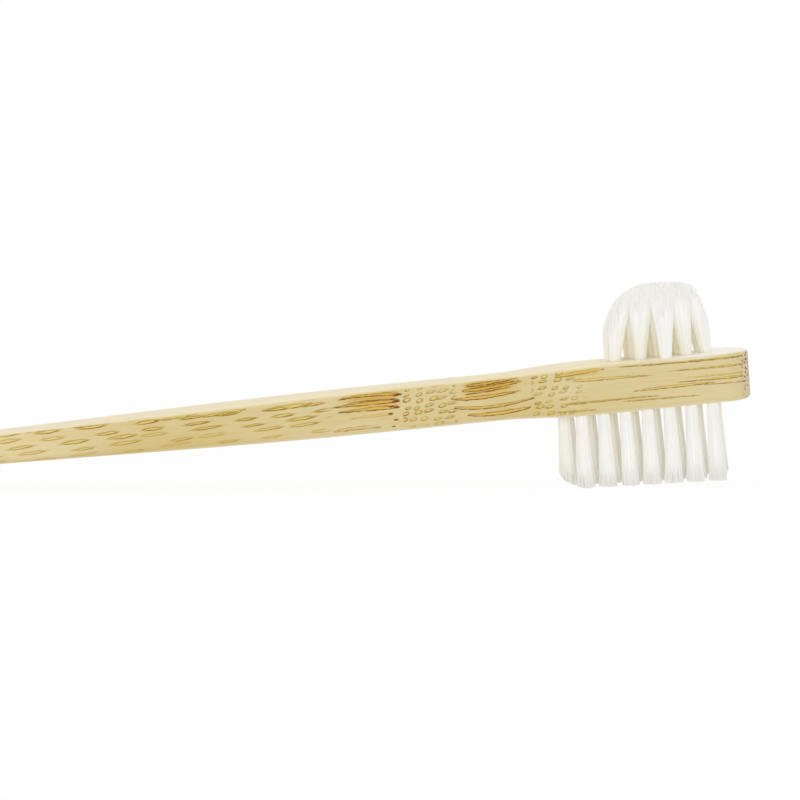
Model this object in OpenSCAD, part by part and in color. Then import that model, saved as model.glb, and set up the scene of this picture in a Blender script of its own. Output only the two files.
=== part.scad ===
// Double-sided denture brush with a bamboo handle
// A flat field of tufts below the head and a domed field above it, in the pose in which the brush rests
// X runs from tail to head, Z is up, and Y points away from the side that is seen

/* [Handle] */
// Length of the handle, tail to head end
handle_len = 190; // [182:1:204]
// Width of the tail end
tail_w = 11; // [9:0.5:13]
// Thickness of the tail end
tail_t = 4.2; // [3.6:0.1:5.5]
// Width of the grip where it is widest
grip_w = 13.4; // [11:0.1:13.8]
// Distance of the widest grip from the tail end
grip_x = 88; // [70:1:105]
// Width of the neck
neck_w = 10.4; // [9:0.1:12]
// Thickness of the neck
neck_t = 8; // [7:0.1:9]
// Length of the narrow neck
neck_len = 10; // [4:0.5:14]
// Width of the head
head_w = 14; // [13.8:0.1:17]
// Thickness of the head between its two tufted faces
head_t = 9.2; // [8.8:0.1:11]
// Length of the head, from the middle of its shoulders to its end
head_len = 43; // [42:0.5:48]
// Length over which the neck widens to the head
shoulder_len = 12; // [8:0.5:14]
// Radius of the rounded long edges
edge_r = 1.3; // [0.6:0.1:1.8]

/* [Tufts] */
// Diameter of the drilled tuft holes
hole_d = 2.2; // [1.8:0.05:2.4]
// Depth of the drilled tuft holes
hole_depth = 3.8; // [3.2:0.1:4]
// Free radius that a tuft leaves inside the rim of its hole
rim_gap = 0.05; // [0.02:0.01:0.1]
// Depth of the ridges that the outer filaments form
ridge = 0.07; // [0.03:0.01:0.12]
// How much shorter every other filament is cut
tip_step = 0.25; // [0.05:0.05:0.5]

/* [Flat field] */
// Distance between tufts along a row
flat_pitch = 4.2; // [3.9:0.05:4.3]
// Distance between the rows
flat_row_gap = 4.8; // [4.2:0.1:5]
// Distance of the field's centre from the head end
flat_inset = 21.3; // [21:0.1:22]
// Length of the tufts at the tail side of the field
flat_len = 13.2; // [10:0.1:16]
// Rise in tuft length for each millimetre towards the head end
flat_slope = 0.05; // [0:0.01:0.08]
// Radius to which a tuft of the flat field spreads at its tip
flat_tip_r = 1.5; // [1.2:0.05:1.6]
// Radius of the trimmed corner on the tail side
rear_round = 3.2; // [1.5:0.1:4]
// Radius of the trimmed corner on the head side
front_round = 1.6; // [1:0.1:3]

/* [Round field] */
// Distance between the columns of tufts
round_pitch = 4.4; // [4.2:0.05:4.5]
// Distance between tufts in a column
round_gap = 3.4; // [3.1:0.05:3.5]
// Distance of the field's centre from the head end
round_inset = 17.1; // [16.8:0.1:19]
// Height of the dome over the head
dome_h = 13.7; // [10:0.1:16]
// Half length of the dome along the handle
dome_x = 10.6; // [10:0.1:11.5]
// Half width of the dome across the handle
dome_y = 8; // [7.4:0.1:9]
// Spread of a tuft's tip along the handle
round_tip_x = 1.9; // [1.4:0.05:2.1]
// Spread of a tuft's tip across the handle
round_tip_y = 1.55; // [1.2:0.05:1.6]

/* [Anchors] */
// Width of the flat metal anchor, which bites into both sides of the hole
anchor_w = 2.6; // [2.5:0.05:2.8]
// Height of the anchor
anchor_h = 1.5; // [1:0.1:1.8]
// Thickness of the anchor
anchor_t = 0.25; // [0.15:0.05:0.4]
// Depth of the fold below the anchor
fold_d = 0.8; // [0.5:0.05:1]

/* [Hidden] */
$fn = 48;
// Tufts in the middle row of the flat field, and in the rows beside it
mid_tufts = 8;
side_tufts = 7;
// Tufts in each column of the round field, from the tail side
column_tufts = [2, 3, 4, 3, 2];
// Steps of a rounded edge, of a rounded end and along the body
edge_steps = 4;
end_steps = 7;
body_steps = 34;
// Angle at which a rounded end closes with a narrow flat nose
nose = 85;
// Filament ridges around a tuft, rings along it, and the inner ring of its cut face
ridges = 12;
rings = 2;
inner = 0.55;
// Depth to which the spread part of a tuft starts inside its root
sink = 0.3;
// Length by which a drill stands out of the face it cuts
over = 1;
// How a tuft's width grows with its height
flare = 1.2;
// Roundness of the dome's tail side, head side and width, as exponents
dome_tail = 2.3;
dome_head = 3.5;
dome_wide = 2.6;
// Share of a face's half thickness, and of a trimmed corner, that a rounding may take
edge_share = 0.8;
corner_share = 0.95;
// Steps onto the trim, and the share of the full length at which they start
trim_steps = 4;
trim_start = 0.9;
// Lowest height at which a filament of the domed field is cut
dome_min = 5;

hole_r = hole_d / 2;
// Radius of the fold at a tuft's foot, and the margin beside it that the hole cuts away
fold_r = 0.8 * hole_d;
fold_side = 0.15 * hole_d;
head_x = handle_len - head_len + shoulder_len / 2;
neck_x = head_x - shoulder_len;
// Distance from the tail end at which the handle starts to thicken
taper_x = 15;
tail_r = tail_w / 2;
nose_r = head_w / 2;

// Positions of the tufts in plan, from the tail side
flat_x = handle_len - flat_inset;
round_x = handle_len - round_inset;
function row(n, y) = [for (i = [0 : n - 1]) [flat_x + (i - (n - 1) / 2) * flat_pitch, y]];
near_row = row(side_tufts, -flat_row_gap);
mid_row = row(mid_tufts, 0);
far_row = row(side_tufts, flat_row_gap);
flat_tufts = concat(near_row, mid_row, far_row);
columns = len(column_tufts);
round_tufts = [for (c = [0 : columns - 1]) for (i = [0 : column_tufts[c] - 1])
    [round_x + (c - (columns - 1) / 2) * round_pitch, (i - (column_tufts[c] - 1) / 2) * round_gap]];

function names(label, n) = [for (i = [1 : n]) str(label, i)];
flat_names = concat(names("flat_tuft_near_", side_tufts), names("flat_tuft_middle_", mid_tufts),
    names("flat_tuft_far_", side_tufts));
round_names = [for (c = [0 : columns - 1]) for (i = [1 : column_tufts[c]])
    str("round_tuft_", c + 1, "_", i)];

// Smooth step from a to b while x runs from x0 to x1
function ease(x, x0, x1, a, b) =
    let (u = min(1, max(0, (x - x0) / (x1 - x0)))) a + (b - a) * u * u * (3 - 2 * u);

// Width and thickness of the handle at a distance from the tail
function width(x) = x < grip_x ? ease(x, 0, grip_x, tail_w, grip_w)
    : x < neck_x ? ease(x, grip_x, neck_x - neck_len, grip_w, neck_w)
    : ease(x, neck_x, head_x, neck_w, head_w);
function thick(x) = x < neck_x ? ease(x, taper_x, neck_x - neck_len, tail_t, neck_t)
    : ease(x, neck_x, head_x + shoulder_len / 2, neck_t, head_t);

// Stations along the handle: plan position and outward direction of the near edge
tail_arc = [for (i = [0 : end_steps]) let (a = -nose + i * nose / end_steps)
    [tail_r + tail_r * sin(a), -tail_r * cos(a), sin(a), -cos(a)]];
body_line = [for (i = [1 : body_steps - 1])
    let (x = tail_r + i * (handle_len - nose_r - tail_r) / body_steps) [x, -width(x) / 2, 0, -1]];
head_arc = [for (i = [0 : end_steps]) let (a = i * nose / end_steps)
    [handle_len - nose_r + nose_r * sin(a), -nose_r * cos(a), sin(a), -cos(a)]];
stations = concat(tail_arc, body_line, head_arc);

// Section of the handle: the near side from bottom to top, then the far side from top to bottom
function section(s) =
    let (h = thick(s[0]) / 2, r = min(edge_r, h * edge_share),
        near = [for (side = [-1, 1]) for (i = [0 : edge_steps])
            let (a = 90 * (side < 0 ? edge_steps - i : i) / edge_steps, d = r * (1 - cos(a)))
            [s[0] - d * s[2], s[1] - d * s[3], side * (h - r + r * sin(a))]])
    concat(near, [for (i = [len(near) - 1 : -1 : 0]) [near[i][0], -near[i][1], near[i][2]]]);

// Closed skin over a row of equal rings, with the ends closed across from side to side
module skin(rows) {
    n = len(rows[0]);
    last = (len(rows) - 1) * n;
    walls = [for (i = [0 : len(rows) - 2]) for (j = [0 : n - 1]) let (k = (j + 1) % n)
        [i * n + j, i * n + k, (i + 1) * n + k, (i + 1) * n + j]];
    start = [for (j = [0 : n / 2 - 2]) [j, n - 1 - j, n - 2 - j, j + 1]];
    end = [for (f = start) [for (i = [3 : -1 : 0]) last + f[i]]];
    polyhedron(points = [for (r = rows) each r], faces = concat(walls, start, end), convexity = 6);
}

// Height at which a filament of each field is cut, above the face that it leaves
function flat_trim(p) =
    let (u = p[0] - mid_row[0][0], v = p[0] - mid_row[mid_tufts - 1][0])
    flat_len + flat_slope * u - corner(rear_round - flat_tip_r - u, rear_round)
        - corner(front_round - flat_tip_r + v, front_round);
function corner(d, r) = d <= 0 ? 0 : r - sqrt(r * r - pow(min(d, r * corner_share), 2));
function round_trim(p) =
    let (u = (p[0] - round_x) / dome_x, v = abs(p[1]) / dome_y, n = u < 0 ? dome_tail : dome_head,
        s = 1 - pow(abs(u), n) - pow(v, dome_wide))
    max(dome_min, dome_h * pow(max(s, 0), 1 / n));

// Offset of a filament from its tuft's axis: direction a, height z, share k of the radius
function spread(a, z, len, tip, k) =
    let (g = pow(max(z, 0) / len, flare), r = hole_r - rim_gap)
    k * [cos(a) * (r + (tip[0] - r) * g), sin(a) * (r + (tip[1] - r) * g)];

// Height at which the filament in direction a meets the trim, found by stepping onto it
function tip_z(c, a, len, tip, k, trim, z, n = trim_steps) =
    n == 0 ? z : tip_z(c, a, len, tip, k, trim, trim(c + spread(a, z, len, tip, k)), n - 1);

// A filament ridge: its direction, its share of the radius and its cut height
function ridge_lines(c, len, tip, trim) = [for (i = [0 : 2 * ridges - 1])
    let (a = i * 180 / ridges, k = 1 - ridge * (i % 2))
    [a, k, tip_z(c, a, len, tip, k, trim, len * trim_start) - tip_step * (i % 2)]];

// Points of a tuft's tip ring in plan and height
function tip_ring(c, len, tip, trim) = [for (l = ridge_lines(c, len, tip, trim))
    let (p = c + spread(l[0], l[2], len, tip, l[1])) [p[0], p[1], l[2]]];

// The free part of a tuft, which spreads from the rim of its hole to the trimmed tips
module spray(c, len, tip, trim) {
    n = 2 * ridges;
    lines = ridge_lines(c, len, tip, trim);
    outer = [for (r = [0 : rings]) for (l = lines)
        let (z = -sink + (l[2] + sink) * r / rings, p = c + spread(l[0], z, len, tip, l[1]))
        [p[0], p[1], z]];
    core = [for (l = lines) let (z = l[2] + tip_step * (l[1] < 1 ? 1 : -1) * inner,
        p = c + spread(l[0], z, len, tip, inner)) [p[0], p[1], min(z, trim(p))]];
    walls = [for (r = [0 : rings]) for (j = [0 : n - 1]) let (k = (j + 1) % n)
        [r * n + j, (r + 1) * n + j, (r + 1) * n + k, r * n + k]];
    foot = (rings + 2) * n;
    caps = [for (j = [0 : n - 1]) each [[foot, j, (j + 1) % n],
        [foot + 1, (rings + 1) * n + (j + 1) % n, (rings + 1) * n + j]]];
    polyhedron(points = concat(outer, core, [[c[0], c[1], -sink], [c[0], c[1], trim(c) - tip_step]]),
        faces = concat(walls, caps), convexity = 4);
}

// Flat metal anchor, across the grain, in the face's own height
module anchor(c) {
    translate([c[0] - anchor_t / 2, c[1] - anchor_w / 2, fold_d - hole_depth])
        cube([anchor_t, anchor_w, anchor_h]);
}

// Root of a tuft in its hole: filaments folded under the anchor, with a rounded fold across it
module root(c) {
    wide = hole_d + over;
    intersection() {
        translate([c[0], c[1], -hole_depth]) cylinder(h = hole_depth, r = hole_r);
        translate([c[0], c[1] + wide / 2, fold_r - hole_depth]) rotate([90, 0, 0]) union() {
            cylinder(h = wide, r = fold_r);
            translate([-hole_r - fold_side, 0, 0])
                cube([hole_d + 2 * fold_side, hole_depth, wide]);
        }
    }
}

// One tuft in the face's own height, folded over its anchor
module tuft(c, len, tip, trim) {
    color("ivory") difference() {
        union() {
            root(c);
            spray(c, len, tip, trim);
        }
        anchor(c);
    }
}

// What is built on the upper face, or hangs below the lower one
module on_top() { translate([0, 0, head_t / 2]) children(); }
module below() { mirror([0, 0, 1]) translate([0, 0, head_t / 2]) children(); }

module drill(c) { translate([c[0], c[1], -hole_depth]) cylinder(h = hole_depth + over, r = hole_r); }

// The brush rests on the tail's lower edge and on the tips of the flat field
tail_foot = [tail_r - tail_r * sin(nose) + edge_r, -tail_t / 2];
flat_tip = [flat_tip_r, flat_tip_r];
flat_cut = [for (c = flat_tufts) each tip_ring(c, flat_len, flat_tip, function(p) flat_trim(p))];
pitch = max([for (p = flat_cut)
    atan2(tail_foot[1] + head_t / 2 + p[2], p[0] - tail_foot[0])]);
nose_drop = (head_t / 2 - edge_r) * sin(pitch);
mid_x = (handle_len * cos(pitch) + nose_drop - (tail_t / 2 - edge_r) * sin(pitch)) / 2;
floor_z = tail_foot[0] * sin(pitch) + tail_foot[1] * cos(pitch);
module rest() { translate([-mid_x, 0, -floor_z]) rotate([0, -pitch, 0]) children(); }

module handle() {
    color("burlywood") rest() difference() {
        skin([for (s = stations) section(s)]);
        on_top() for (c = round_tufts) drill(c);
        below() for (c = flat_tufts) drill(c);
        on_top() for (c = round_tufts) anchor(c);
        below() for (c = flat_tufts) anchor(c);
    }
}

module flat_side_anchors() { color("goldenrod") rest() below() for (c = flat_tufts) anchor(c); }

module round_side_anchors() { color("goldenrod") rest() on_top() for (c = round_tufts) anchor(c); }

module flat_tuft(c) { rest() below() tuft(c, flat_len, flat_tip, function(p) flat_trim(p)); }

module round_tuft(c) {
    rest() on_top() tuft(c, dome_h, [round_tip_x, round_tip_y], function(p) round_trim(p));
}

handle();
flat_side_anchors();
round_side_anchors();
for (i = [0 : len(flat_tufts) - 1])
    flat_tuft(flat_tufts[i]);
for (i = [0 : len(round_tufts) - 1])
    round_tuft(round_tufts[i]);
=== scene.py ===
"""Looks of the double-sided denture brush: a bamboo handle, tufts of single nylon filaments, brass anchors.

The brush is modelled straight, in millimetres, with the tail at x = 0 and z = 0 in the middle of its
thickness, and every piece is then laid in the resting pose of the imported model.
"""

import math
import random

import bpy
from mathutils import Matrix, Vector, geometry


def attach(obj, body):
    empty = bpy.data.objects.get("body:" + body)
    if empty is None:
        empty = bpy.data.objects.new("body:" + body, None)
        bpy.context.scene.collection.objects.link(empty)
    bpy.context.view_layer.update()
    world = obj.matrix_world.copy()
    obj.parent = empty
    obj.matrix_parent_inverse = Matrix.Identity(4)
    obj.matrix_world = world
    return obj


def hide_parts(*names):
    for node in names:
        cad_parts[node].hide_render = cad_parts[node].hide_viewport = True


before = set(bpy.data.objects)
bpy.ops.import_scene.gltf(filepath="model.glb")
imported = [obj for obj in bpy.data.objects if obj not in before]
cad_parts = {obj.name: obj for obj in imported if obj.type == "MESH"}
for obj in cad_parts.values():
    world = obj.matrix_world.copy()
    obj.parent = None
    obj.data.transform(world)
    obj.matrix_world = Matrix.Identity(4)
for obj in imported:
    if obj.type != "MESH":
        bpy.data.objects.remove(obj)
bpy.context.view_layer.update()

# Sizes of the handle, as in the solids (mm)
LENGTH, TAIL_W, TAIL_T, TAPER_X = 190.0, 11.0, 4.2, 15.0
GRIP_W, GRIP_X, NECK_W, NECK_T, NECK_LEN = 13.4, 88.0, 10.4, 8.0, 10.0
HEAD_W, HEAD_T, HEAD_LEN, SHOULDER = 14.0, 9.2, 43.0, 12.0
HEAD_X = LENGTH - HEAD_LEN + SHOULDER / 2
NECK_X = HEAD_X - SHOULDER
HOLE_R, HOLE_DEPTH = 1.1, 3.8

# Radius of the rounded edges, the smaller one round the end of the head, where it changes along x,
# and the largest share of the half thickness that it takes
EDGE_R, END_EDGE_R, EDGE_SHARE = 1.3, 0.8, 0.8
EDGE_START, EDGE_END = LENGTH - 12, LENGTH - 3

# The flat field of tufts and the surface that it is trimmed to, as in the solids (mm)
FLAT_PITCH, FLAT_ROW, FLAT_X, FLAT_LEN, FLAT_SLOPE, FLAT_TIP = 4.2, 4.8, 168.7, 13.2, 0.05, 1.5
REAR_ROUND, FRONT_ROUND, CORNER_SHARE = 3.2, 1.6, 0.95

# The round field and its dome, as in the solids (mm). The bevels of its shoulders are only here: where each
# starts along x, its run for 1 mm of drop, and the height at its start
ROUND_PITCH, ROUND_GAP, ROUND_X = 4.4, 3.4, 172.9
COLUMNS = (2, 3, 4, 3, 2)
DOME_H, DOME_X, DOME_Y = 13.7, 10.6, 8.0
DOME_TAIL, DOME_HEAD, DOME_WIDE, DOME_MIN = 2.3, 3.5, 2.6, 5.0
REAR_BEVEL, FRONT_BEVEL, BEVEL_Z = (6.2, 0.56), (7.2, 0.40), 12.0

# The resting pose: a turn about Y, then a shift along X and up
PITCH, MID_X, LIFT = math.radians(5.83966), 94.6342, 1.9547
MM = 0.001
COS, SIN = math.cos(PITCH), math.sin(PITCH)
REST = Matrix(((COS, 0, -SIN, -MID_X * MM), (0, 1, 0, 0), (SIN, 0, COS, LIFT * MM), (0, 0, 0, 1)))


def ease(x, x0, x1, a, b):
    """A smooth step from a at x0 to b at x1."""
    u = min(1.0, max(0.0, (x - x0) / (x1 - x0)))
    return a + (b - a) * u * u * (3 - 2 * u)


def width(x):
    """Width of the handle in plan, before its ends are rounded."""
    if x < GRIP_X:
        return ease(x, 0, GRIP_X, TAIL_W, GRIP_W)
    if x < NECK_X:
        return ease(x, GRIP_X, NECK_X - NECK_LEN, GRIP_W, NECK_W)
    return ease(x, NECK_X, HEAD_X, NECK_W, HEAD_W)


def thick(x):
    """Thickness of the handle."""
    if x < NECK_X:
        return ease(x, TAPER_X, NECK_X - NECK_LEN, TAIL_T, NECK_T)
    return ease(x, NECK_X, HEAD_X + SHOULDER / 2, NECK_T, HEAD_T)


def edge_radius(x):
    """Radius of the rounded edges, a little less round the end of the head."""
    return min(ease(x, EDGE_START, EDGE_END, EDGE_R, END_EDGE_R), thick(x) / 2 * EDGE_SHARE)


SLOPE_STEP = 0.05


def half_slope(size, x):
    """Slope along x of half the width or half the thickness."""
    return (size(x + SLOPE_STEP) - size(x - SLOPE_STEP)) / (4 * SLOPE_STEP)


def row(n, y):
    """Places in plan of a row of n tufts of the flat field."""
    return [(FLAT_X + (i - (n - 1) / 2) * FLAT_PITCH, y) for i in range(n)]


FLAT_ROWS = {"near": row(7, -FLAT_ROW), "middle": row(8, 0.0), "far": row(7, FLAT_ROW)}
FLAT_TUFTS = {
    f"flat_tuft_{name}_{i + 1}": place
    for name, places in FLAT_ROWS.items()
    for i, place in enumerate(places)
}
MIDDLE_COLUMN = len(COLUMNS) // 2
ROUND_TUFTS = {
    f"round_tuft_{j + 1}_{i + 1}": (
        ROUND_X + (j - MIDDLE_COLUMN) * ROUND_PITCH,
        (i - (n - 1) / 2) * ROUND_GAP,
    )
    for j, n in enumerate(COLUMNS)
    for i in range(n)
}


def corner_drop(d, r):
    """How much a corner of radius r takes off the trimmed surface, at a distance d into the corner."""
    return 0.0 if d <= 0 else r - math.sqrt(r * r - min(d, CORNER_SHARE * r) ** 2)


def flat_trim(place):
    """Height over the head to which the flat field is trimmed: a slight slope with rounded corners."""
    from_rear = place[0] - FLAT_ROWS["middle"][0][0]
    from_front = place[0] - FLAT_ROWS["middle"][-1][0]
    return (
        FLAT_LEN
        + FLAT_SLOPE * from_rear
        - corner_drop(REAR_ROUND - FLAT_TIP - from_rear, REAR_ROUND)
        - corner_drop(FRONT_ROUND - FLAT_TIP + from_front, FRONT_ROUND)
    )


def round_trim(place):
    """Height over the head to which the round field is trimmed: a dome with a slight bevel."""
    x, across = place[0] - ROUND_X, abs(place[1]) / DOME_Y
    power, (start, run) = (DOME_TAIL, REAR_BEVEL) if x < 0 else (DOME_HEAD, FRONT_BEVEL)
    rest = 1 - abs(x / DOME_X) ** power - across**DOME_WIDE
    bevel = BEVEL_Z - (abs(x) - start) / run
    return max(DOME_MIN, min(bevel, DOME_H * max(rest, 0.0) ** (1 / power)))


# Meshes
def make_piece(name, points, faces, material, normals=None):
    """A smooth piece from points of the straight brush in mm, laid at rest, with its own normals if given."""
    mesh = bpy.data.meshes.new(name)
    mesh.from_pydata([REST @ Vector((x * MM, y * MM, z * MM)) for x, y, z in points], [], faces)
    mesh.update()
    mesh.polygons.foreach_set("use_smooth", [True] * len(mesh.polygons))
    if normals:
        turned = REST.to_3x3()
        mesh.normals_split_custom_set_from_vertices([turned @ n for n in normals])
    mesh.materials.append(material)
    piece = bpy.data.objects.new(name, mesh)
    bpy.context.scene.collection.objects.link(piece)
    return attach(piece, "root")


# Steps along the straight part and round each end, and the points of one cross section of the handle.
# The half-round ends stop just short of a quarter turn, where their cross section would be a line.
BODY_STEPS, END_STEPS, EDGE_STEPS, HOLE_STEPS = 190, 24, 8, 36
QUARTER, END_TURN = math.radians(90), math.radians(88.5)
RING = 4 * (EDGE_STEPS + 1)
HALF_RING = RING // 2


def stations():
    """The near edge in plan: x, half the width, and the outward direction in x and in y."""
    out = []
    tail_r, nose_r = TAIL_W / 2, HEAD_W / 2
    for i in range(END_STEPS):
        a = END_TURN * (i / END_STEPS - 1)
        out.append((tail_r + tail_r * math.sin(a), tail_r * math.cos(a), math.sin(a), math.cos(a)))
    for i in range(BODY_STEPS + 1):
        x = tail_r + i * (LENGTH - nose_r - tail_r) / BODY_STEPS
        outward = Vector((-half_slope(width, x), 1)).normalized()
        out.append((x, width(x) / 2, outward[0], outward[1]))
    for i in range(1, END_STEPS + 1):
        a = END_TURN * i / END_STEPS
        x = LENGTH - nose_r + nose_r * math.sin(a)
        out.append((x, nose_r * math.cos(a), math.sin(a), math.cos(a)))
    return out


def handle_mesh():
    """The handle: rounded long edges, half-round ends, and a drilled hole for each tuft."""
    points, normals, faces = [], [], []
    line = stations()
    for x, y, nx, ny in line:
        half_t = thick(x) / 2
        r = edge_radius(x)
        rise = half_slope(thick, x)
        if x < TAIL_W / 2 or x > LENGTH - HEAD_W / 2:
            rise = 0.0
        ring = []
        for side in (-1, 1):
            for i in range(EDGE_STEPS + 1):
                a = QUARTER * (EDGE_STEPS - i if side < 0 else i) / EDGE_STEPS
                inset = r * (1 - math.cos(a))
                p = (x - inset * nx, -y + inset * ny, side * (half_t - r + r * math.sin(a)))
                n = Vector((math.cos(a) * nx - math.sin(a) * rise, -math.cos(a) * ny, side * math.sin(a)))
                ring.append((p, n.normalized()))
        ring += [((p[0], -p[1], p[2]), Vector((n[0], -n[1], n[2]))) for p, n in reversed(ring)]
        points += [p for p, _ in ring]
        normals += [n for _, n in ring]
    for k in range(len(line) - 1):
        for j in range(RING):
            if j not in (HALF_RING - 1, RING - 1):  # the top and the bottom come from the drilled faces
                a, b = k * RING + j, k * RING + (j + 1) % RING
                faces.append((a, a + RING, b + RING, b))
    last = (len(line) - 1) * RING
    for j in range(HALF_RING - 1):
        faces.append((j, j + 1, RING - 2 - j, RING - 1 - j))
        faces.append((last + j + 1, last + j, last + RING - 1 - j, last + RING - 2 - j))
    for side, tufts in ((1, ROUND_TUFTS), (-1, FLAT_TUFTS)):
        drilled_face(points, normals, faces, len(line), side, list(tufts.values()))
    return points, faces, normals


# Inner points of a drilled face lie at these shares of the half width, this far outside any hole
INNER_SHARES, HOLE_MARGIN = (-0.5, 0.0, 0.5), 0.5
# The triangulation keeps what lies inside the outline, and merges points that are closer than this
INSIDE_ONLY, MERGE = 1, 1e-5
# Holes stop this far short of the rounded edge (mm)
RIM_GAP = 0.05


def drilled_face(points, normals, faces, rings, side, holes):
    """The flat top or bottom between the long edges, with a hole for each tuft, its wall and its floor."""
    near, far = (HALF_RING - 1, HALF_RING) if side > 0 else (0, RING - 1)
    shared = [k * RING + near for k in range(rings)] + [k * RING + far for k in reversed(range(rings))]
    plan = [points[i][:2] for i in shared]
    edges = [(i, (i + 1) % len(plan)) for i in range(len(plan))]
    for x, y in plan[2:rings - 2:2]:
        for share in INNER_SHARES:
            if all(math.dist((x, y * share), hole) > HOLE_R + HOLE_MARGIN for hole in holes):
                plan.append((x, y * share))
    mouths = [hole_mouth(hole) for hole in holes]
    loops = []
    for mouth in mouths:
        loops.append(list(range(len(plan), len(plan) + HOLE_STEPS)))
        plan += mouth
    flat = [Vector(p) for p in plan]
    _, _, triangles, origins, _, hole_lists = geometry.delaunay_2d_cdt(flat, edges, loops, INSIDE_ONLY, MERGE)
    place = []
    for sources in origins:
        i = sources[0]
        if i < len(shared):
            place.append(shared[i])
            continue
        x, y = plan[i]
        place.append(len(points))
        points.append((x, y, side * thick(x) / 2))
        normals.append(Vector((-half_slope(thick, x), 0, side)).normalized())
    for triangle, inside_hole in zip(triangles, hole_lists):
        if not inside_hole:
            faces.append(tuple(place[i] for i in (triangle if side > 0 else reversed(triangle))))
    for hole, mouth in zip(holes, mouths):
        base = len(points)
        for depth in (0.0, HOLE_DEPTH):
            for x, y in mouth:
                height = thick(x) / 2 if depth == 0 else HEAD_T / 2 - depth
                points.append((x, y, side * height))
                normals.append(Vector((hole[0] - x, hole[1] - y, 0)).normalized())
        for i in range(HOLE_STEPS):
            k = (i + 1) % HOLE_STEPS
            wall = (base + i, base + k, base + HOLE_STEPS + k, base + HOLE_STEPS + i)
            faces.append(wall if side > 0 else wall[::-1])
        bottom = [base + HOLE_STEPS + i for i in range(HOLE_STEPS)]
        faces.append(tuple(bottom if side > 0 else reversed(bottom)))


def hole_mouth(centre):
    """Points round a hole, which stop just short of the rounded edge of the face."""
    out = []
    for i in range(HOLE_STEPS):
        a = 2 * math.pi * i / HOLE_STEPS
        x, y = centre[0] + HOLE_R * math.cos(a), centre[1] + HOLE_R * math.sin(a)
        limit = width(x) / 2 - EDGE_R - RIM_GAP
        out.append((x, min(limit, max(-limit, y))))
    return out


# Filaments of one tuft (mm). They spread with the power FLARE of their height, and end SPLAY past the radius
# of the tuft. The tufts of the dome end in ovals, and lean towards its middle by the share PULL.
FILAMENTS, FILAMENT_R, SIDES, FLARE, SPLAY = 160, 0.072, 5, 1.2, 0.12
DOME_SPREAD, PULL = (2.7, 2.1), 0.21
GOLDEN = math.pi * (3 - math.sqrt(5))
# Where a filament's rings lie: below the face, at it, at shares of its length, and just under its rounded tip
ROOT_Z, MID_SHARES, TIP_ROUND, TIP_SHARE = -1.6, (0.28, 0.52, 0.76), 0.07, 0.55
# Random differences: the lean of a tuft in x and y, then each filament's turn, stray, bow and length.
# The share MOST of the filaments strays a little, and the rest strays more.
LEAN_X, LEAN_Y, JITTER, STRAY, MORE_STRAY, MOST = 0.05, 0.04, 0.25, 0.06, 0.2, 0.93
BOW, SHORT, UNEVEN = 0.04, 0.03, 0.15
# The length of a filament depends on where its tip is, so it is found in a few passes from a first guess
FIRST_GUESS, PASSES = 0.9, 3
# The core: its share of the radius and of the length, its sides, and its rings as shares of height and radius
CORE_SHARE, CORE_TOP, CORE_SIDES = 0.92, 0.88, 20
CORE_RINGS = ((-0.12, 1), (0.0, 1), (0.2, 1), (0.4, 1), (0.6, 1), (0.8, 1), (0.93, 0.9), (1.0, 0.5))


def tube(points, faces, rings, side):
    """Skin over rings of points, closed at both ends."""
    base, n = len(points), len(rings[0])
    for ring in rings:
        points += [(x, y, side * (HEAD_T / 2 + z)) for x, y, z in ring]
    for k in range(len(rings) - 1):
        for j in range(n):
            p, q = base + k * n + j, base + k * n + (j + 1) % n
            quad = (p, q, q + n, p + n)
            faces.append(quad if side > 0 else quad[::-1])
    for start, outward in ((base, -side), (base + (len(rings) - 1) * n, side)):
        cap = [start + j for j in range(n)]
        faces.append(tuple(cap if outward > 0 else reversed(cap)))


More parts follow.
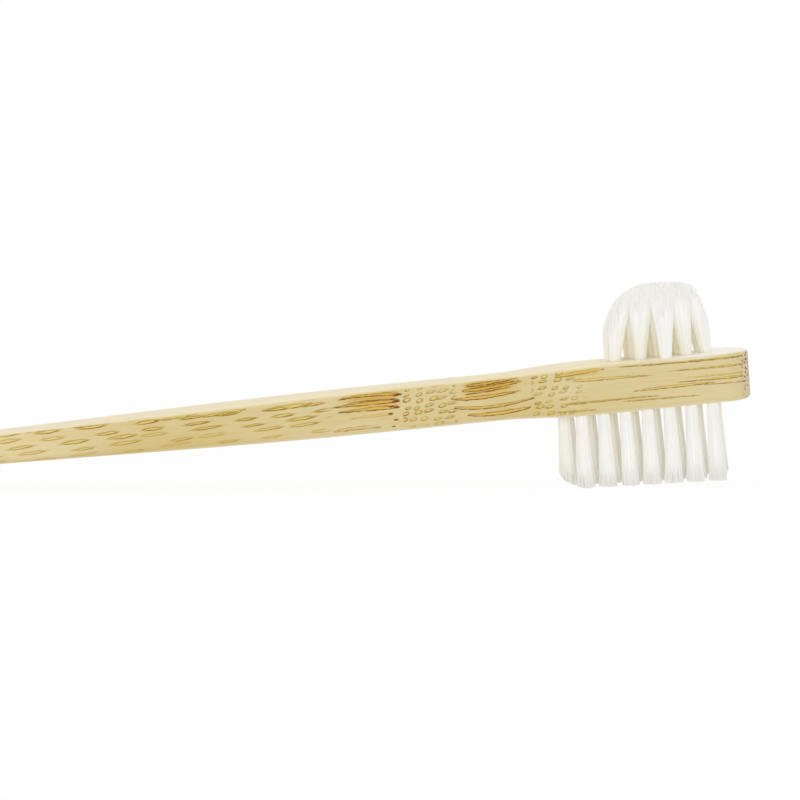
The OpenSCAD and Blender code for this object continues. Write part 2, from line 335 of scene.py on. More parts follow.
def tuft_mesh(centre, length, tip, trim, side, seed):
    """A bundle of filaments round a smooth core, which spreads from its hole to the trimmed tips."""
    rng = random.Random(seed)
    points, faces = [], []
    root_r = HOLE_R - FILAMENT_R
    lean = (rng.gauss(0, LEAN_X), rng.gauss(0, LEAN_Y))

    def at(z, share, a, drift=(0, 0), bow=(0, 0)):
        """Place in plan, at height z, of the filament at a share of the radius and a turn of a."""
        t = max(z, 0.0) / length
        flare = t**FLARE
        rx, ry = (root_r + (r + SPLAY - root_r) * flare for r in tip)
        swell = math.sin(math.pi * min(t, 1.0))
        inward = PULL * (ROUND_X - centre[0]) * t if side > 0 else 0.0
        return (
            centre[0] + inward + share * math.cos(a) * rx + (lean[0] + drift[0]) * t * t + bow[0] * swell,
            centre[1] + share * math.sin(a) * ry + (lean[1] + drift[1]) * t * t + bow[1] * swell,
        )

    def trimmed(*path):
        """Height at which the trimmed surface cuts a filament."""
        top = length * FIRST_GUESS
        for _ in range(PASSES):
            top = trim(at(top, *path))
        return top

    turns = [2 * math.pi * j / CORE_SIDES for j in range(CORE_SIDES)]
    tops = [trimmed(CORE_SHARE, a) for a in turns]
    rings = []
    for height, wide in CORE_RINGS:
        ring = []
        for a, top in zip(turns, tops):
            z = top * CORE_TOP * height
            ring.append((*at(z, CORE_SHARE * wide, a), z))
        rings.append(ring)
    tube(points, faces, rings, side)

    for i in range(FILAMENTS):
        share = math.sqrt((i + 0.5) / FILAMENTS)
        a = i * GOLDEN + rng.uniform(-JITTER, JITTER)
        stray = STRAY if rng.random() < MOST else MORE_STRAY
        drift = (rng.gauss(0, stray), rng.gauss(0, stray))
        bow = (rng.gauss(0, BOW), rng.gauss(0, BOW))
        path = (share, a, drift, bow)
        top = trimmed(*path) - SHORT - UNEVEN * rng.random() ** 2
        turn = rng.uniform(0, 2 * math.pi)
        rings = []
        for z in [ROOT_Z, 0.0] + [top * f for f in MID_SHARES] + [top - TIP_ROUND, top]:
            x, y = at(z, *path)
            r = FILAMENT_R * (TIP_SHARE if z == top else 1.0)
            steps = [turn + 2 * math.pi * j / SIDES for j in range(SIDES)]
            rings.append([(x + r * math.cos(b), y + r * math.sin(b), z) for b in steps])
        tube(points, faces, rings, side)
    return points, faces


# Helpers for the materials
class Shader:
    """A material's node tree, with short ways to add nodes. A value is a number, a colour or a socket."""

    def __init__(self, name):
        self.material = bpy.data.materials.new(name)
        self.material.use_nodes = True
        self.tree = self.material.node_tree
        self.out = self.tree.nodes["Material Output"]
        self.surface = self.tree.nodes["Principled BSDF"]

    def put(self, socket, value):
        """Links another socket to this one, or sets its number or colour."""
        if isinstance(value, bpy.types.NodeSocket):
            self.tree.links.new(value, socket)
        elif isinstance(value, (int, float)):
            socket.default_value = float(value)
        elif value is not None:
            socket.default_value = value

    def node(self, kind, *values, **settings):
        """A node, with values for its first inputs in their order, and its settings by name."""
        n = self.tree.nodes.new("ShaderNode" + kind)
        for key, value in settings.items():
            setattr(n, key, value)
        for socket, value in zip(n.inputs, values):
            self.put(socket, value)
        return n

    def named(self, n, **values):
        """Sets inputs of a node by their names, with _ for a space."""
        for key, value in values.items():
            self.put(n.inputs[key.replace("_", " ")], value)
        return n

    def math(self, operation, a, b=None):
        return self.node("Math", a, b, operation=operation).outputs[0]

    def absolute(self, value):
        return self.math("ABSOLUTE", value)

    def minus(self, a, b):
        return self.math("SUBTRACT", a, b)

    def larger(self, a, b):
        return self.math("MAXIMUM", a, b)

    def add(self, *terms):
        total = terms[0]
        for t in terms[1:]:
            total = self.math("ADD", total, t)
        return total

    def times(self, *terms):
        total = terms[0]
        for t in terms[1:]:
            total = self.math("MULTIPLY", total, t)
        return total

    def ramp(self, x, x0, x1, a, b, smooth=True):
        """From a where x is x0 or less, to b where it is x1 or more."""
        n = self.node("MapRange", x, x0, x1, a, b)
        n.interpolation_type = "SMOOTHSTEP" if smooth else "LINEAR"
        return n.outputs[0]

    def band(self, x, rise, fall, strength=1.0):
        """The strength where x lies between two ramps, and nothing outside them."""
        return self.times(self.ramp(x, *rise, 0.0, strength), self.ramp(x, *fall, 1.0, 0.0))

    def vector(self, x, y, z):
        return self.node("CombineXYZ", x, y, z).outputs[0]

    def parts(self, value):
        return self.node("SeparateXYZ", value).outputs

    def noise(self, vector, scale=1.0, detail=2.0, rough=0.5):
        n = self.node("TexNoise", noise_dimensions="3D")
        return self.named(n, Vector=vector, Scale=scale, Detail=detail, Roughness=rough).outputs["Fac"]

    def stretched(self, place, scales, detail=2.0, rough=0.5):
        """Noise with its own scale along x, y and z, per mm."""
        vector = self.vector(*(self.times(v, scale) for v, scale in zip(place, scales)))
        return self.noise(vector, detail=detail, rough=rough)

    def cells(self, x, y, randomness):
        """A flat lattice of cells, with one point in each."""
        n = self.node("TexVoronoi", voronoi_dimensions="2D", feature="F1")
        return self.named(n, Vector=self.vector(x, y, 0.0), Scale=1.0, Randomness=randomness).outputs

    def mix(self, factor, a, b):
        n = self.node("Mix", data_type="RGBA", blend_type="MIX")
        self.put(n.inputs[0], factor)
        self.put(n.inputs[6], a)
        self.put(n.inputs[7], b)
        return n.outputs[2]

    def principled(self, **values):
        self.named(self.surface, **values)

    def object_mm(self):
        """Coordinates of the straight brush in millimetres, x, y and z, from where the piece lies at rest."""
        back = self.node("Mapping", self.node("TexCoord").outputs["Object"], vector_type="TEXTURE")
        back.inputs["Location"].default_value = REST.to_translation()
        back.inputs["Rotation"].default_value = REST.to_euler()
        back.inputs["Scale"].default_value = (MM, MM, MM)
        return self.parts(back.outputs[0])


def seen_rays(tree):
    """Is 1 for the rays of the camera, of reflections and of transmission, and 0 for all others."""
    rays = tree.nodes.new("ShaderNodeLightPath").outputs
    shown = rays["Is Camera Ray"]
    for kind in ("Is Glossy Ray", "Is Transmission Ray"):
        more = tree.nodes.new("ShaderNodeMath")
        more.operation = "MAXIMUM"
        tree.links.new(shown, more.inputs[0])
        tree.links.new(rays[kind], more.inputs[1])
        shown = more.outputs[0]
    return shown


def srgb(r, g, b):
    """A colour written as it shows on a screen, 0 to 255, in linear values."""
    def linear(v):
        v /= 255
        return v / 12.92 if v <= 0.04045 else ((v + 0.055) / 1.055) ** 2.4

    return (linear(r), linear(g), linear(b), 1.0)


# Streaks of the side faces, in mm of the straight brush: x and z of both ends, bow, half height at the
# fullest, how dark the outline is, how golden the inside is, and the taper of both ends (1 is a long point)
STREAKS = (
    # the long bundles that run into the node
    (110.8, 2.75, 123.0, 2.7, 0.35, 0.25, 1.0, 1.0, 1.0, 0.3),
    (113.0, 2.1, 121.5, 2.05, 0.05, 0.05, 0.7, 0.4, 0.7, 0.5),
    (109.5, 1.5, 122.6, 1.6, 0.1, 0.31, 1.0, 1.0, 1.0, 0.3),
    (110.5, 0.5, 122.4, 0.5, 0.1, 0.30, 1.0, 1.0, 1.0, 0.3),
    (113.0, -0.8, 121.3, -0.6, 0.0, 0.24, 0.25, 0.5, 1.0, 0.4),
    (110.0, -2.8, 119.0, -2.8, 0.2, 0.26, 0.6, 0.4, 0.7, 0.7),
    # the bundles that bend through the neck
    (136.5, 3.6, 143.8, 4.0, -0.05, 0.06, 0.9, 0.8, 0.6, 0.8),
    (135.0, 2.95, 145.0, 3.65, -0.10, 0.26, 1.0, 1.0, 0.5, 0.8),
    (134.2, 2.1, 145.4, 2.95, -0.15, 0.32, 1.0, 1.0, 0.4, 0.7),
    (136.0, 3.25, 144.5, 3.75, -0.05, 0.05, 0.9, 0.8, 0.6, 0.8),
    (135.5, 2.45, 145.0, 3.2, -0.12, 0.05, 0.9, 0.8, 0.6, 0.8),
    (134.6, 1.5, 143.5, 2.15, -0.15, 0.06, 0.8, 0.8, 0.6, 0.8),
    (132.7, 0.8, 145.2, 1.3, -0.35, 0.27, 1.0, 1.0, 0.5, 0.8),
    (132.5, -0.7, 147.4, -0.2, -0.75, 0.24, 0.9, 0.8, 0.3, 0.5),
    (134.8, -2.3, 146.6, -1.9, -0.40, 0.30, 0.9, 0.8, 0.6, 0.6),
    # the long lines of the head
    (151.0, 3.1, 160.6, 3.8, 0.1, 0.28, 0.9, 1.0, 0.7, 0.7),
    (154.5, 2.1, 170.0, 1.75, 0.05, 0.22, 0.9, 0.9, 0.3, 1.0),
    (163.0, 3.85, 187.6, 3.6, -0.10, 0.10, 1.0, 1.0, 0.7, 0.3),
    (174.0, 4.35, 187.0, 4.25, 0.0, 0.15, 0.3, 1.0, 0.7, 0.3),
    (172.0, 2.2, 187.5, 2.1, 0.0, 0.13, 0.8, 1.0, 0.9, 0.2),
    (175.0, 0.7, 187.4, 0.6, 0.0, 0.13, 0.4, 1.0, 0.9, 0.2),
    (173.5, 0.0, 187.4, -0.05, 0.0, 0.15, 0.9, 1.0, 0.9, 0.2),
    (165.5, -0.85, 181.5, -0.65, 0.1, 0.20, 0.9, 0.9, 0.8, 0.8),
    (179.0, -0.9, 187.6, -1.1, 0.0, 0.06, 0.7, 0.4, 0.5, 0.2),
    (152.5, -1.95, 171.0, -2.05, 0.0, 0.10, 0.9, 0.9, 0.4, 0.8),
    (163.5, -2.5, 178.5, -2.75, 0.0, 0.08, 0.8, 0.8, 0.6, 0.8),
    (151.0, -3.3, 158.5, -3.5, 0.0, 0.10, 0.7, 0.9, 0.5, 0.5),
    # longer bundles under the top edge of the grip
    (56.0, 2.5, 63.5, 2.85, 0.0, 0.12, 0.8, 0.8, 0.7, 0.7),
    (64.5, 2.55, 73.0, 3.0, 0.0, 0.13, 0.9, 1.0, 0.7, 0.7),
    (74.0, 2.8, 81.5, 3.2, 0.0, 0.12, 0.8, 0.9, 0.7, 0.7),
    (78.5, 2.4, 86.5, 2.95, 0.0, 0.14, 0.9, 1.0, 0.7, 0.7),
    (80.0, 3.25, 91.5, 3.5, 0.0, 0.07, 0.8, 0.5, 0.7, 0.7),
    (87.0, 2.3, 95.0, 3.0, -0.05, 0.24, 1.0, 1.0, 0.7, 0.7),
    (92.0, 3.3, 99.0, 3.45, 0.0, 0.07, 0.8, 0.4, 0.7, 0.7),
    (97.5, 2.3, 107.0, 2.7, 0.0, 0.32, 1.0, 1.0, 0.7, 0.7),
)
# Brown points where the bundles meet the node: x, z, length, half height
NODE_POINTS = (
    (122.2, 2.65, 1.7, 0.22), (121.3, 1.95, 1.3, 0.16), (122.0, 1.5, 1.5, 0.24), (121.1, 0.7, 1.2, 0.16),
    (122.0, 0.4, 1.3, 0.22), (120.8, -0.6, 1.0, 0.15), (121.7, -1.8, 0.9, 0.15), (121.2, -2.9, 0.8, 0.12),
)

# The lattices of lenses and of rings: pitch along x, slant against z, where the count starts, and its offset
LENSES, RINGS = (8.0, 1.6, 63.6, 0.2), (2.25, -0.3, 123.6, 40.25)
LENS_PITCH, RING_PITCH, LEVEL_PITCH, LEVEL_Z = LENSES[0], RINGS[0], 1.17, 0.17
# Where the marks of the sides change along x (mm)
LENSES_GROW, LENSES_STOP, LATTICE_CHANGE = (48.0, 64.0), (107.0, 111.0), (116.0, 117.0)
NECK_RINGS_START, NECK_RINGS_STOP = (122.9, 123.3), (132.4, 133.4)
HEAD_RINGS_START, HEAD_RINGS_STOP = (146.5, 147.5), (152.0, 159.0)
# Bands along x (mm) where the wood is yellower, and where its long bundles are browner
YELLOW_BANDS, YELLOW_SHARE = (((62.0, 76.0), (86.0, 98.0)), ((136.0, 142.0), (147.0, 154.0))), 0.45
RIPE_BANDS = ((104.0, 111.0), (123.0, 124.5)), ((131.5, 134.0), (146.0, 148.5))
# How far the marks of the far side are shifted (mm), with the scales of the noise that shifts them
FAR_SHIFT_X, FAR_SHIFT_Z, FAR_SCALE_X, FAR_SCALE_Z = 14.0, 2.4, 0.06, 0.12
# Scales of the noises along x, y and z, per mm: fibres, what bends and breaks the lines, and the tone
FIBRE_SCALES, FINE_SCALES, LONG_SCALES = (0.12, 5.0, 5.0), (0.5, 16.0, 16.0), (0.04, 2.6, 2.6)
WOBBLE_SCALES, BREAK_SCALES, TONE_SCALES = (0.8, 1.0, 1.7), (0.9, 1.0, 3.0), (0.05, 0.2, 0.35)
# Most of a noise lies in this range, and the middle of it in the narrower one
NOISE_RANGE, NARROW_RANGE = (0.3, 0.7), (0.35, 0.65)
# A line wanders by this much (mm), and fades over this range of distance from its middle (mm)
WANDER, LINE_FADE = 0.30, (0.03, 0.13)
# How dark the upper side of a streak's outline is against the lower one, and the share of its half height
# at which it is fully there
UPPER_SHARE, SWELL_START = 0.6, 0.25
# Where a brown point at the node fades, as the square of the distance in shares of its size
POINT_FADE = (0.3, 1.6)
# The dots of the end grain: how many a mm, and where each fades, as a distance in cells
DOT_SCALE, DOT_FADE = 1.15, (0.16, 0.33)
WOOD_ROUGH, BUMP_STRENGTH, BUMP_MM = (0.44, 0.56), 0.5, 0.06
# Along this stretch of x, the colour of the sides reaches less and less far round the edges
TAIL_EDGE = (55.0, 88.0)

# Colours of the bamboo: the wood by place, its fibres, its broad faces paled partly by painted light, the top
# of its head whitened by painted light, then the bundles, plain and browner
STRAW, DEEP_STRAW = srgb(225, 209, 160), srgb(222, 203, 148)
HEAD_STRAW, TAIL_STRAW, YELLOW = srgb(232, 216, 170), srgb(238, 222, 174), srgb(208, 178, 96)
FIBRES, LONG_FIBRES = srgb(206, 187, 130), srgb(205, 178, 120)
SKIN_AND_LIT_FACES, LIT_HEAD_TOP = srgb(250, 238, 205), srgb(255, 254, 249)
GOLD, RIPE_GOLD = srgb(231, 202, 98), srgb(224, 178, 54)
DARK, RIPE_DARK = srgb(143, 108, 14), srgb(122, 76, 0)
BROWN = srgb(124, 62, 8)


def cut_bundles(m, x, z, z0):
    """Lenses of the grip and rings of the neck: one bundle in each cell of a lattice, if its zone has any."""
    in_rings = m.ramp(x, *LATTICE_CHANGE, 0.0, 1.0)

    def by_zone(lens, ring):
        return m.ramp(in_rings, 0, 1, lens, ring)

    def count_along(pitch, slant, start, offset):
        return m.add(m.times(m.add(x, m.times(z, slant), -start), 1 / pitch), offset)

    lens_count, ring_count = count_along(*LENSES), count_along(*RINGS)
    count = m.add(m.times(lens_count, m.minus(1.0, in_rings)), m.times(ring_count, in_rings))
    level = m.times(m.add(z, LEVEL_Z), 1 / LEVEL_PITCH)
    cells = m.cells(count, level, by_zone(lens=0.4, ring=0.5))
    place, chance = m.parts(cells["Position"]), m.parts(cells["Color"])

    # Distance from the middle of the bundle along and across the handle, and where its outline is
    dx = m.times(m.minus(count, place[0]), by_zone(LENS_PITCH, RING_PITCH))
    dz = m.times(m.minus(level, place[1]), LEVEL_PITCH)
    dz = m.minus(dz, m.times(dx, by_zone(lens=0.06, ring=0.12)))
    longer, shorter = m.ramp(x, 124.5, 132.0, 0.0, 0.35), m.ramp(x, 140.0, 150.0, 0.0, -0.3)
    half_x = m.add(by_zone(lens=3.0, ring=0.56), longer, shorter)
    half_x = m.times(half_x, m.ramp(chance[1], 0, 1, 0.78, 1.12))
    half_z = m.times(by_zone(lens=0.20, ring=0.30), m.ramp(chance[2], 0, 1, 0.72, 1.15))
    power = by_zone(lens=1.0, ring=2.0)
    reach = m.add(
        m.math("POWER", m.math("DIVIDE", m.absolute(dz), half_z), power),
        m.math("POWER", m.math("DIVIDE", dx, half_x), 2.0),
    )
    off = m.math("DIVIDE", m.times(m.absolute(m.minus(reach, 1.0)), half_z), power)

    # Bundles are left out where long streaks take their place, and fade low on the side
    upper = m.ramp(z0, -3.2, 1.6, 0.5, 1.0)
    zones = m.add(
        m.times(m.ramp(x, *LENSES_STOP, 1.0, 0.0), m.ramp(x, *LENSES_GROW, 0.7, 1.0)),
        m.ramp(x, *NECK_RINGS_START, 0.0, 1.0),
        m.ramp(x, *NECK_RINGS_STOP, 0.0, -1.0),
        m.ramp(x, *HEAD_RINGS_START, 0.0, 0.9),
        m.ramp(x, *HEAD_RINGS_STOP, 0.0, -0.9),
    )
    kept = m.times(m.ramp(chance[0], 0.05, 0.45, 0.62, 1.0), zones, m.larger(upper, m.times(in_rings, 0.9)))

    # The outline is darkest below and fades towards its ends
    below = m.ramp(dz, -0.1, 0.1, 1.0, by_zone(lens=0.7, ring=0.55))
    open_ends = m.ramp(m.absolute(m.math("DIVIDE", dx, half_x)), 0.55, 1.0, 1.0, by_zone(lens=0.3, ring=0.7))
    dark = m.times(m.ramp(off, *LINE_FADE, 1.0, 0.0), kept, below, open_ends)
    inside = m.ramp(reach, 0.9, by_zone(lens=1.8, ring=1.5), 1.0, 0.0)
    gold = m.times(inside, kept, by_zone(lens=0.9, ring=0.75))
    return dark, gold


def long_streaks(m, x, y, z, dark, gold):
    """Adds the long streaks, each drawn between its two ends."""
    broken = m.ramp(m.stretched((x, y, z), BREAK_SCALES, detail=1.0), 0.36, 0.52, 0.45, 1.0)
    for xa, za, xb, zb, bow, half, line, amber, left, right in STREAKS:
        t = m.ramp(x, xa, xb, 0, 1, smooth=False)
        rest = m.minus(1.0, t)
        peak = (left / (left + right)) ** left * (right / (left + right)) ** right
        swell = m.times(m.math("POWER", t, left), m.math("POWER", rest, right), half / peak)
        line_z = m.add(m.times(t, zb - za), za)
        if bow:
            line_z = m.add(line_z, m.times(t, rest, 4 * bow))
        above = m.minus(z, line_z)
        away = m.minus(m.absolute(above), swell)
        shade = m.ramp(above, -0.05, 0.05, line, UPPER_SHARE * line)
        there = m.ramp(swell, 0.0, SWELL_START * half, 0.0, 1.0)
        outline = m.times(m.ramp(m.absolute(away), *LINE_FADE, 1.0, 0.0), shade, there, broken)
        dark = m.larger(dark, outline)
        gold = m.larger(gold, m.times(m.ramp(away, -0.05, 0.12, amber, 0.0), there))
    return dark, gold


def crowded_bundles(m, x, z):
    """Places where the bundles lie so close that the wood is golden all over: three, high on the side."""
    return m.add(
        m.times(m.band(x, (110, 116), (121.5, 123), 0.8), m.ramp(z, -0.4, 1.4, 0.0, 1.0)),
        m.times(m.band(x, (133.5, 136.5), (141.5, 145.5), 0.95), m.ramp(z, 0.4, 2.4, 0.0, 1.0)),
        m.times(m.band(x, (152, 154), (158, 160.5), 0.9), m.band(z, (2.7, 3.1), (3.9, 4.2))),
    )


def points_at_node(m, x, z):
    """Brown points where the bundles meet the node."""
    brown = 0.0
    for xc, zc, length, half in NODE_POINTS:
        along = m.math("POWER", m.math("DIVIDE", m.minus(x, xc), length / 2), 2.0)
        across = m.math("POWER", m.math("DIVIDE", m.minus(z, zc), half), 2.0)
        brown = m.larger(brown, m.ramp(m.add(along, across), *POINT_FADE, 1.0, 0.0))
    return brown


def bamboo():
    """Split bamboo: lenses, rings and streaks on its sides, plain fibres on top, dots at the ends."""
    m = Shader("bamboo")
    x0, y, z0 = m.object_mm()
    normal = m.parts(m.node("TexCoord").outputs["Normal"])
    flatness = m.math("POWER", m.absolute(normal[2]), 2.0)
    endness = m.ramp(m.absolute(normal[0]), 0.5, 0.72, 0.0, 1.0)

    # The far side is cut from the same culm a little further in, so that its marks differ
    far = m.ramp(y, -1.0, 1.0, 0.0, 1.0)
    shift = m.node("TexNoise", noise_dimensions="3D")
    shift_at = m.vector(m.times(x0, FAR_SCALE_X), 0.0, m.times(z0, FAR_SCALE_Z))
    m.named(shift, Vector=shift_at, Scale=1.0, Detail=0.0)
    drift = m.parts(shift.outputs["Color"])
    wobble = m.minus(m.stretched((x0, y, z0), WOBBLE_SCALES), 0.5)
    x = m.add(x0, m.times(far, m.minus(drift[0], 0.42), FAR_SHIFT_X))
    z = m.add(z0, m.times(far, m.minus(drift[1], 0.5), FAR_SHIFT_Z), m.times(wobble, WANDER))

    # The marks of the sides
    dark, gold = cut_bundles(m, x, z, z0)
    edge_from, edge_to = m.ramp(x0, *TAIL_EDGE, 0.6, 0.1), m.ramp(x0, *TAIL_EDGE, 0.95, 0.6)
    side_on = m.ramp(flatness, edge_from, edge_to, 1.0, 0.0)
    dark, gold = long_streaks(m, x, y, z, dark, gold)
    brown = points_at_node(m, x, z)
    crowded = crowded_bundles(m, x, z)
    gold = m.larger(gold, crowded)
    dark = m.larger(dark, m.times(crowded, m.ramp(z, 0.6, 3.4, 0.03, 0.2)))
    dark, gold, brown = (m.times(v, side_on) for v in (dark, gold, brown))

    # End grain: bundles cut square across
    dots = m.cells(m.times(y, DOT_SCALE), m.times(z0, DOT_SCALE), 0.8)
    dot = m.ramp(dots["Distance"], *DOT_FADE, 1.0, 0.0)
    brown = m.larger(brown, m.times(dot, endness, m.ramp(z0, -3.5, 0.5, 0.4, 1.0)))

    # Fine fibres along the handle, and a few longer ones on the broad faces
    fibre = m.stretched((x0, y, z0), FIBRE_SCALES, detail=3.0, rough=0.6)
    fine = m.stretched((x0, y, z0), FINE_SCALES)
    long_ones = m.stretched((x0, y, z0), LONG_SCALES)
    faint = m.times(m.ramp(m.absolute(m.minus(long_ones, 0.5)), 0.0, 0.035, 0.35, 0.0), flatness)

    # The wood between the marks: paler at the tail and on the head, yellower in two places low on the side
    tone = m.stretched((x0, y, z0), TONE_SCALES)
    wood = m.mix(m.ramp(tone, *NARROW_RANGE, 0.0, 1.0), STRAW, DEEP_STRAW)
    wood = m.mix(m.ramp(x0, 160.0, 184.0, 0.0, 0.6), wood, HEAD_STRAW)
    wood = m.mix(m.ramp(x0, 50.0, 70.0, 0.5, 0.0), wood, TAIL_STRAW)
    yellow = m.add(*(m.band(x0, *ends, YELLOW_SHARE) for ends in YELLOW_BANDS))
    wood = m.mix(m.times(yellow, m.ramp(z0, -2.5, 1.5, 1.0, 0.4)), wood, YELLOW)
    wood = m.mix(m.ramp(fibre, *NOISE_RANGE, 0.0, 0.30), wood, FIBRES)
    # The broad faces are paler: partly the culm's own skin, partly painted light and sheen from above
    pale_and_lit = m.ramp(flatness, m.ramp(x0, *TAIL_EDGE, 0.7, 0.2), 1.0, 0.0, 0.85)
    wood = m.mix(pale_and_lit, wood, SKIN_AND_LIT_FACES)
    # The upper face of the head is painted nearly white: painted light from above
    lit_head_top = m.times(flatness, m.ramp(x0, 163.0, 180.0, 0.0, 0.85), m.ramp(z0, 0.0, 1.0, 0.0, 1.0))
    wood = m.mix(lit_head_top, wood, LIT_HEAD_TOP)
    wood = m.mix(faint, wood, LONG_FIBRES)

    # Round the node and through the neck the long bundles are browner than elsewhere
    ripe = m.add(*(m.band(x0, *ends) for ends in RIPE_BANDS))
    wood = m.mix(m.times(gold, 0.8), wood, m.mix(ripe, GOLD, RIPE_GOLD))
    deeper = m.add(m.times(ripe, 0.3), 1.0)
    wood = m.mix(m.times(dark, deeper), wood, m.mix(ripe, DARK, RIPE_DARK))
    wood = m.mix(brown, wood, BROWN)

    rough = m.add(m.ramp(fibre, 0.2, 0.8, *WOOD_ROUGH), m.times(dark, 0.12))
    bump = m.node("Bump")
    height = m.add(m.times(fibre, 0.5), m.times(fine, 0.35))
    m.named(bump, Strength=BUMP_STRENGTH, Distance=BUMP_MM * MM, Height=height)
    m.principled(Base_Color=wood, Roughness=rough, Specular_IOR_Level=0.25, Normal=bump.outputs[0])
    return m.material


# Colours of the nylon and the painted shade of its roots, the scales of the noise that tells its filaments
# apart, and its roughness
WHITE, OFF_WHITE, ROOT_SHADE = (0.88, 0.879, 0.865, 1), (0.87, 0.868, 0.853, 1), (0.80, 0.76, 0.56, 1)
# A warm emission: painted light that stands for light scattered through the filaments
PAINTED_GLOW, PAINTED_GLOW_STRENGTH = (1.0, 0.955, 0.82, 1), 0.095
STRAND_SCALES, NYLON_ROUGH = (6.0, 6.0, 0.25), (0.38, 0.5)


def nylon():
    """White nylon filaments, each a little different in tone. A faint warm glow is painted light, standing
    for light scattered in them.
    """
    m = Shader("nylon")
    x, y, z = m.object_mm()
    strand = m.stretched((x, y, z), STRAND_SCALES, detail=1.0)
    colour = m.mix(m.ramp(strand, *NOISE_RANGE, 0.0, 1.0), WHITE, OFF_WHITE)

    def by_field(flat, dome):
        return m.ramp(z, -1.0, 1.0, flat, dome)

    # In the middle of each field the filaments are painted darker and yellower, strongest at their roots:
    # painted shade between the tufts, yellow as light bounced off the wood
    along = m.math("DIVIDE", m.add(x, -ROUND_X), by_field(flat=15.5, dome=9.0))
    across = m.times(m.absolute(y), 0.2)
    middle = m.add(m.math("POWER", m.absolute(along), 4.0), m.math("POWER", across, 2.0))
    height = m.add(m.absolute(z), -HEAD_T / 2)
    root = m.times(
        m.ramp(height, 1.0, by_field(flat=14.0, dome=9.0), 1.0, 0.0),
        m.ramp(middle, 0.5, 1.2, 1.0, 0.0),
        by_field(flat=0.15, dome=0.6),
    )
    colour = m.mix(root, colour, ROOT_SHADE)
    m.principled(
        Base_Color=colour,
        Roughness=m.ramp(strand, *NOISE_RANGE, *NYLON_ROUGH),
        Sheen_Weight=1.0,
        Emission_Color=PAINTED_GLOW,
        Emission_Strength=PAINTED_GLOW_STRENGTH,
    )
    return m.material


# The brass, the scales of its grain, and its roughness
BRASS, TARNISH = srgb(205, 168, 92), srgb(176, 138, 70)
DRAWN_SCALES, BRASS_ROUGH = (3.0, 3.0, 20.0), (0.25, 0.42)


def brass():
    """Drawn brass of the anchors, with a fine grain and a slight tarnish."""
    m = Shader("brass")
    x, y, z = m.object_mm()
    grain = m.stretched((x, y, z), DRAWN_SCALES)
    m.principled(
        Base_Color=m.mix(m.ramp(grain, *NARROW_RANGE, 0.0, 1.0), BRASS, TARNISH),
        Metallic=1.0,
        Roughness=m.ramp(grain, *NOISE_RANGE, *BRASS_ROUGH),
    )
    return m.material


# The paper of the floor, the scale of its grain, and the distances (m) over which it turns into background
PAPER, PALE_PAPER, PAPER_SCALE = (0.92, 0.92, 0.915, 1), (0.94, 0.94, 0.935, 1), 900.0
PAPER_FADE, NEAR_SHARE = (0.12, 0.30), 0.95


def floor_paper():
    """White floor: it keeps a soft shadow near the brush and turns into the white background further out."""
    m = Shader("floor_paper")
    m.tree.nodes.remove(m.surface)
    place = m.node("TexCoord").outputs["Object"]
    grain = m.noise(place, scale=PAPER_SCALE)
    diffuse = m.node("BsdfDiffuse")
    m.put(diffuse.inputs["Color"], m.mix(grain, PAPER, PALE_PAPER))
    white = m.node("Emission")
    m.put(white.inputs["Strength"], 1.0)
    far = m.node("VectorMath", place, operation="LENGTH").outputs["Value"]
    share = m.times(seen_rays(m.tree), m.ramp(far, *PAPER_FADE, NEAR_SHARE, 1.0))
    both = m.node("MixShader", share, diffuse.outputs[0], white.outputs[0])
    m.put(m.out.inputs["Surface"], both.outputs[0])
    return m.material


# The brush
bamboo_wood, white_nylon, metal = bamboo(), nylon(), brass()
points, faces, normals = handle_mesh()
handle = make_piece("bamboo_handle", points, faces, bamboo_wood, normals)
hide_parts("handle")

seed = 11
for side, tufts, length, tip, trim in (
    (-1, FLAT_TUFTS, FLAT_LEN, (FLAT_TIP, FLAT_TIP), flat_trim),
    (1, ROUND_TUFTS, DOME_H, DOME_SPREAD, round_trim),
):
    for name, centre in tufts.items():
        seed += 1
        points, faces = tuft_mesh(centre, length, tip, trim, side, seed)
        tuft = make_piece(name.replace("_tuft_", "_filaments_"), points, faces, white_nylon)
        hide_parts(name)

for name in ("flat_side_anchors", "round_side_anchors"):
    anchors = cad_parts[name]
    anchors.data.materials.clear()
    anchors.data.materials.append(metal)

# The floor and the world, which lights the brush softly and shows as white
FLOOR_R, FLOOR_SIDES = 3.0, 96
WORLD_LIGHT, WORLD_SHOWN = 0.55, 1.0
bpy.ops.mesh.primitive_circle_add(vertices=FLOOR_SIDES, radius=FLOOR_R, fill_type="NGON")
floor = bpy.context.object
floor.name = "floor"
floor.data.materials.append(floor_paper())

scene = bpy.context.scene
scene.world = bpy.data.worlds.new("studio")
scene.world.use_nodes = True
tree = scene.world.node_tree
light, shown = tree.nodes["Background"], tree.nodes.new("ShaderNodeBackground")
for background, strength in ((light, WORLD_LIGHT), (shown, WORLD_SHOWN)):
    background.inputs["Color"].default_value = (1, 1, 1, 1)
    background.inputs["Strength"].default_value = strength
either = tree.nodes.new("ShaderNodeMixShader")
for source, socket in zip((seen_rays(tree), light.outputs[0], shown.outputs[0]), either.inputs):
    tree.links.new(source, socket)
tree.links.new(either.outputs[0], tree.nodes["World Output"].inputs["Surface"])


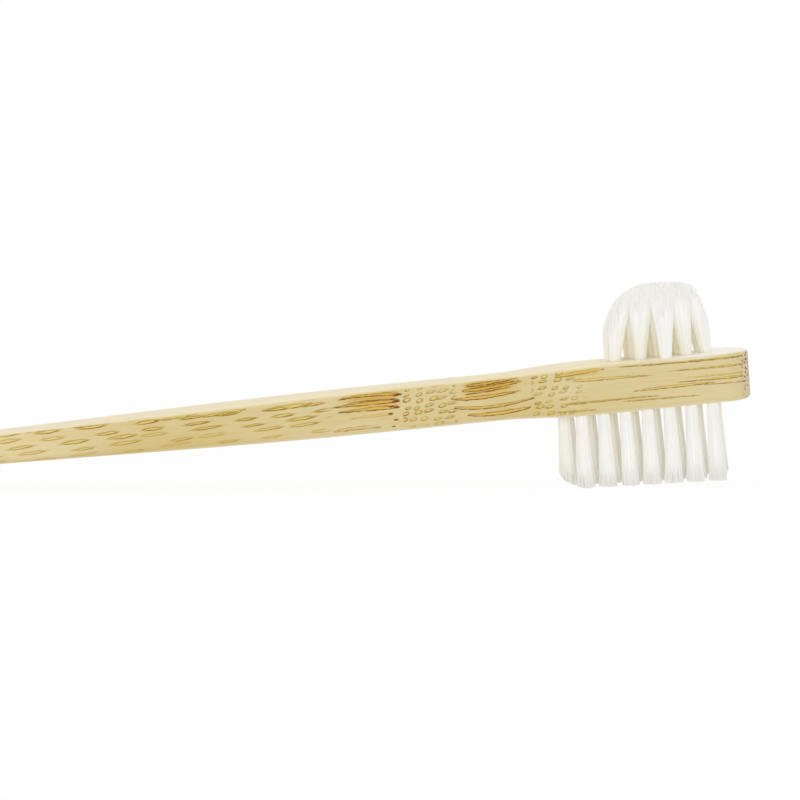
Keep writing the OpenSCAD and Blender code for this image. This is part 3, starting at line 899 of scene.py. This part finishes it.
def softbox(name, place, aim, size, watts):
    """A rectangular lamp at a place, turned to what it aims at."""
    lamp = bpy.data.lights.new(name, "AREA")
    lamp.shape, lamp.size, lamp.size_y = "RECTANGLE", size[0], size[1]
    lamp.energy = watts
    box = bpy.data.objects.new(name, lamp)
    scene.collection.objects.link(box)
    box.location = place
    box.rotation_euler = (Vector(aim) - Vector(place)).to_track_quat("-Z", "Y").to_euler()


softbox("overhead", place=(0.02, 0.05, 0.75), aim=(0.02, 0, 0), size=(0.9, 0.7), watts=2.05)
softbox("front", place=(-0.19, -0.88, 0.16), aim=(0.03, 0, 0.02), size=(0.5, 0.35), watts=2.5)

# The camera: its direction and distance come from the edges and tufts in the photograph
AZIMUTH, ELEVATION, ROLL, DISTANCE = math.radians(-10.182), math.radians(4.426), math.radians(1.0), 0.364943
TARGET = Vector((0.02824, 0.0, 0.015686))
LENS_MM, SENSOR_MM, CLIP_START, CLIP_END = 90.0, 36.0, 0.01, 20.0
level_share = math.cos(ELEVATION)
back = Vector((math.sin(AZIMUTH) * level_share, -math.cos(AZIMUTH) * level_share, math.sin(ELEVATION)))
level = Vector((math.cos(AZIMUTH), math.sin(AZIMUTH), 0.0))
upright = back.cross(level)
right = math.cos(ROLL) * level + math.sin(ROLL) * upright
up = math.cos(ROLL) * upright - math.sin(ROLL) * level
eye = TARGET + back * DISTANCE
lens = bpy.data.cameras.new("camera")
lens.lens, lens.sensor_width, lens.clip_start, lens.clip_end = LENS_MM, SENSOR_MM, CLIP_START, CLIP_END
camera = bpy.data.objects.new("camera", lens)
scene.collection.objects.link(camera)
camera.matrix_world = Matrix((
    (right[0], up[0], back[0], eye[0]),
    (right[1], up[1], back[1], eye[1]),
    (right[2], up[2], back[2], eye[2]),
    (0, 0, 0, 1),
))
bpy.context.scene.camera = camera
bpy.context.scene.view_settings.view_transform = "Standard"
# White fibres pass light on many times before it leaves the tuft
BOUNCES = 32
scene.cycles.max_bounces, scene.cycles.diffuse_bounces = BOUNCES, BOUNCES
